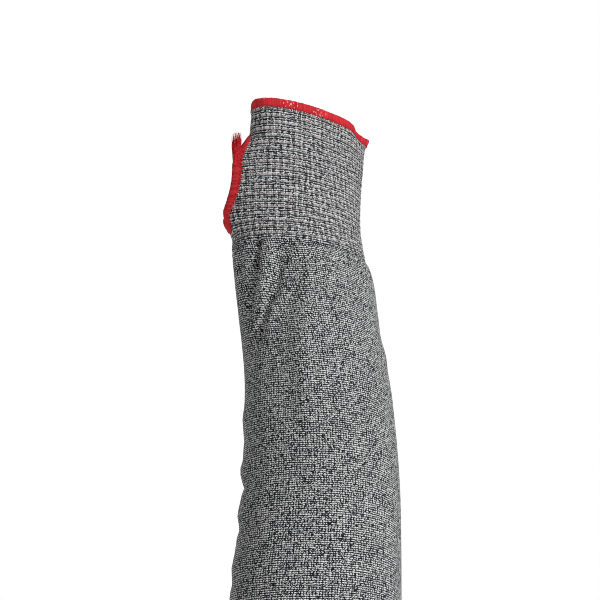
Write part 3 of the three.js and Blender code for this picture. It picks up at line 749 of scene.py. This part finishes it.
def slotPlace(share, reach, out):
    halfWide, halfLong = form["slotWidth"] / 2, form["slotLength"] / 2
    fine = np.linspace(0, 2 * math.pi, fineSteps)
    travel = travelled(np.stack([halfWide * np.cos(fine), halfLong * np.sin(fine)], -1))
    turn = np.interp(share * travel[-1], travel, fine)
    aside, up = -np.cos(turn) * form["slotLength"], -np.sin(turn) * form["slotWidth"]        # into the slot
    size = np.hypot(aside, up)
    aside, up = aside / size / slotPerDegree, up / size
    angle = form["slotAngle"] + halfWide / slotPerDegree * np.cos(turn)
    height = slotMiddle + halfLong * np.sin(turn)
    step = np.linalg.norm(facePoint(angle + aside, height + up) - facePoint(angle, height), axis=-1)
    angle, height = angle + aside * reach / step, height + up * reach / step
    return facePoint(angle, height) + faceOutward(angle, height) * (out - waffle["wall"] / 2)[..., None]


# Thin threads along given paths, in one mesh: a point has its place and may have its thickness
def makeThreads(name, paths, radius, material, closed=False):
    clearSelection()
    strands = bpy.data.curves.new(name, "CURVE")
    strands.dimensions = "3D"
    strands.bevel_depth, strands.bevel_resolution = radius * mm, 0
    for path in paths:
        spline = strands.splines.new("POLY")
        spline.points.add(len(path) - 1)
        for point, spot in zip(spline.points, path):
            point.co = (*(float(value) * mm for value in spot[:3]), 1)
            point.radius = float(spot[3]) if len(spot) > 3 else 1
        spline.use_cyclic_u = closed
    piece = bpy.data.objects.new(name, strands)
    bpy.context.collection.objects.link(piece)
    only(piece)
    bpy.ops.object.convert(target="MESH")
    piece = bpy.context.object
    piece.name = piece.data.name = name
    bpy.ops.object.shade_smooth()
    piece.data.materials.append(material)
    return piece


# The chain of thread that runs in a zigzag along the lap of a band
def makeChain(name, place, loops, material):
    share = np.arange(loops * overlock["loopPoints"]) / (loops * overlock["loopPoints"])
    swing = np.sin(2 * math.pi * loops * share)
    reach = overlock["chainInset"] - overlock["lap"] + overlock["chainSwing"] * swing
    low, rise = overlock["chainOut"]
    out = waffle["wall"] / 2 + low + rise * (swing + 1) / 2
    return makeThreads(name, [place(share, reach, out)], overlock["chainRadius"], material, closed=True)


def plainRedMaterial():
    material, tree, shader = newMaterial("redThread", overlock["roughness"], overlock["sheen"])
    spot = tree.nodes.new("ShaderNodeTexCoord").outputs["Object"]
    tone = noise(tree, spot, scale=overlock["plainScale"], detail=3.0)
    tree.links.new(ramp(tree, tone, overlock["plainPlaces"], threadShades), shader.inputs["Base Color"])
    emboss(tree, shader, tone, overlock["bumpDepth"])
    return material


def makeOverlock(redThread):
    finger = makeBand("fingerEdgeOverlock", overlock["fingerSegments"], overlock["fingerWraps"], fingerPlace,
                      overlock["fingerSeed"], [],
                      overlockMaterial("fingerOverlock", overlock["fingerWraps"], overlock["bareSpots"]))
    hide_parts("finger_edge_binding")
    # the wraps start and end over each other at the head of the slot
    thumb = makeBand("thumbSlotOverlock", overlock["slotSegments"], overlock["slotWraps"], slotPlace,
                     overlock["slotSeed"], overlock["slotSwellings"],
                     overlockMaterial("slotOverlock", overlock["slotWraps"], []))
    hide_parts("thumb_slot_binding")
    fingerChain = makeChain("fingerEdgeChain", fingerPlace, overlock["fingerLoops"], redThread)
    thumbChain = makeChain("thumbSlotChain", slotPlace, overlock["slotLoops"], redThread)
    for piece in (finger, thumb, fingerChain, thumbChain):
        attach(piece, "root")
    print("overlocked edges", [len(edge.data.polygons) for edge in (finger, thumb, fingerChain, thumbChain)])


# The loose end of the thread chain at the top of the thumb slot
wisp = {
    "share": 0.11, "reach": -1.5, "out": 1.4,                  # where it leaves the band
    "length": 18.0, "sunk": 4.0, "width": 4.6, "thickness": 2.4,
    "strands": 240, "steps": 8, "radius": 0.16, "seed": 4,
    "lengths": (0.72, 0.35), "bend": 0.5, "fan": (0.9, 1.15), "neck": 0.55, "sways": (0.15, 0.2),
    "taper": 0.6,
}


def makeWisp(redThread):
    stray = random.Random(wisp["seed"])
    root = slotPlace(*(np.array([wisp[key]]) for key in ("share", "reach", "out")))[0]
    neck, (shortest, spare), (swayX, swayY) = wisp["neck"], wisp["lengths"], wisp["sways"]
    paths = []
    for _ in range(wisp["strands"]):
        angle, reach = stray.uniform(0, 2 * math.pi), math.sqrt(stray.random())
        x, y = math.cos(angle) * reach * wisp["width"] / 2, math.sin(angle) * reach * wisp["thickness"] / 2
        tall = wisp["length"] * (shortest + spare * stray.random() ** 3)
        bend, fan = stray.uniform(-wisp["bend"], wisp["bend"]), stray.uniform(*wisp["fan"])
        path = []
        for step in range(wisp["steps"] + 1):
            t = step / wisp["steps"]
            spread = neck + (1 - neck) * math.sin(math.pi * min(1, t * 0.75)) + (fan - 1) * t ** 2
            path.append((root[0] + x * spread + bend * t ** 2 + swayX * math.sin(9 * t + angle),
                         root[1] + y * spread + swayY * math.cos(8 * t + angle),
                         root[2] - wisp["sunk"] + tall * t, 1 - wisp["taper"] * t ** 4))
        paths.append(path)
    piece = makeThreads("slotThreadWisp", paths, wisp["radius"], redThread)
    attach(piece, "root")
    print("thread wisp", len(piece.data.polygons), "faces")


# Floor, light and camera: pixels is the lens's focal length in pixels of the frame
studio = {
    "floorLevel": -0.3746, "floorSize": 6.0, "floorColour": (0.86, 0.86, 0.86), "floorRoughness": 0.8,
    "fill": 0.4, "backdrop": 1.0,
    "lights": {
        "keyLight": {"from": (1.0, -1.0, 0.45), "spread": 14.0, "power": 2.4},
        "sideLight": {"from": (1.0, 0.25, 0.3), "spread": 30.0, "power": 0.5},
        "backLight": {"from": (-0.35, 1.0, 0.6), "spread": 30.0, "power": 0.9},
    },
    "target": (0.0004, 0.0, -0.024), "distance": 1.25, "elevation": -15.0,
    "pixels": 2273.0, "frame": 600.0, "sensor": 36.0,
}


def addLight(name, settings):
    clearSelection()
    bpy.ops.object.light_add(type="SUN", location=settings["from"])
    light = bpy.context.object
    light.name = name
    light.data.angle, light.data.energy = math.radians(settings["spread"]), settings["power"]
    light.rotation_euler = Vector(settings["from"]).to_track_quat("Z", "Y").to_euler()


# One white light fills the shade, and the camera sees another behind everything
def lightWorld():
    world = bpy.context.scene.world or bpy.data.worlds.new("studio")
    bpy.context.scene.world = world
    world.use_nodes = True
    tree = world.node_tree
    tree.nodes.clear()
    pick, ray, out = (tree.nodes.new(kind) for kind in (
        "ShaderNodeMixShader", "ShaderNodeLightPath", "ShaderNodeOutputWorld"))
    tree.links.new(ray.outputs["Is Camera Ray"], pick.inputs[0])
    for socket, strength in ((1, studio["fill"]), (2, studio["backdrop"])):
        white = tree.nodes.new("ShaderNodeBackground")
        white.inputs["Color"].default_value = (1, 1, 1, 1)
        white.inputs["Strength"].default_value = strength
        tree.links.new(white.outputs[0], pick.inputs[socket])
    tree.links.new(pick.outputs[0], out.inputs[0])


def makeStudio():
    clearSelection()
    bpy.ops.mesh.primitive_plane_add(size=studio["floorSize"], location=(0, 0, studio["floorLevel"]))
    floor = bpy.context.object
    floor.name = "paleFloor"
    material, _, shader = newMaterial("paleFloor", studio["floorRoughness"])
    shader.inputs["Base Color"].default_value = (*studio["floorColour"], 1)
    floor.data.materials.append(material)
    lightWorld()
    for name, settings in studio["lights"].items():
        addLight(name, settings)
    lift = math.radians(studio["elevation"])
    x, y, z = studio["target"]
    place = (x, y - studio["distance"] * math.cos(lift), z + studio["distance"] * math.sin(lift))
    bpy.ops.object.camera_add(location=place, rotation=(math.pi / 2 - lift, 0, 0))
    camera = bpy.context.object
    camera.data.sensor_width = studio["sensor"]
    camera.data.lens = studio["sensor"] * studio["pixels"] / studio["frame"]
    camera.data.clip_start = 0.01
    bpy.context.scene.camera = camera
    bpy.context.scene.view_settings.view_transform = "Standard"
    bpy.context.scene.cycles.filter_width = 1.0        # keeps the stitches crisp
    print("floor, lights and camera")


makeStudio()
makeCuff()
makeTube()
redThread = plainRedMaterial()
makeOverlock(redThread)
makeWisp(redThread)
clearSelection()
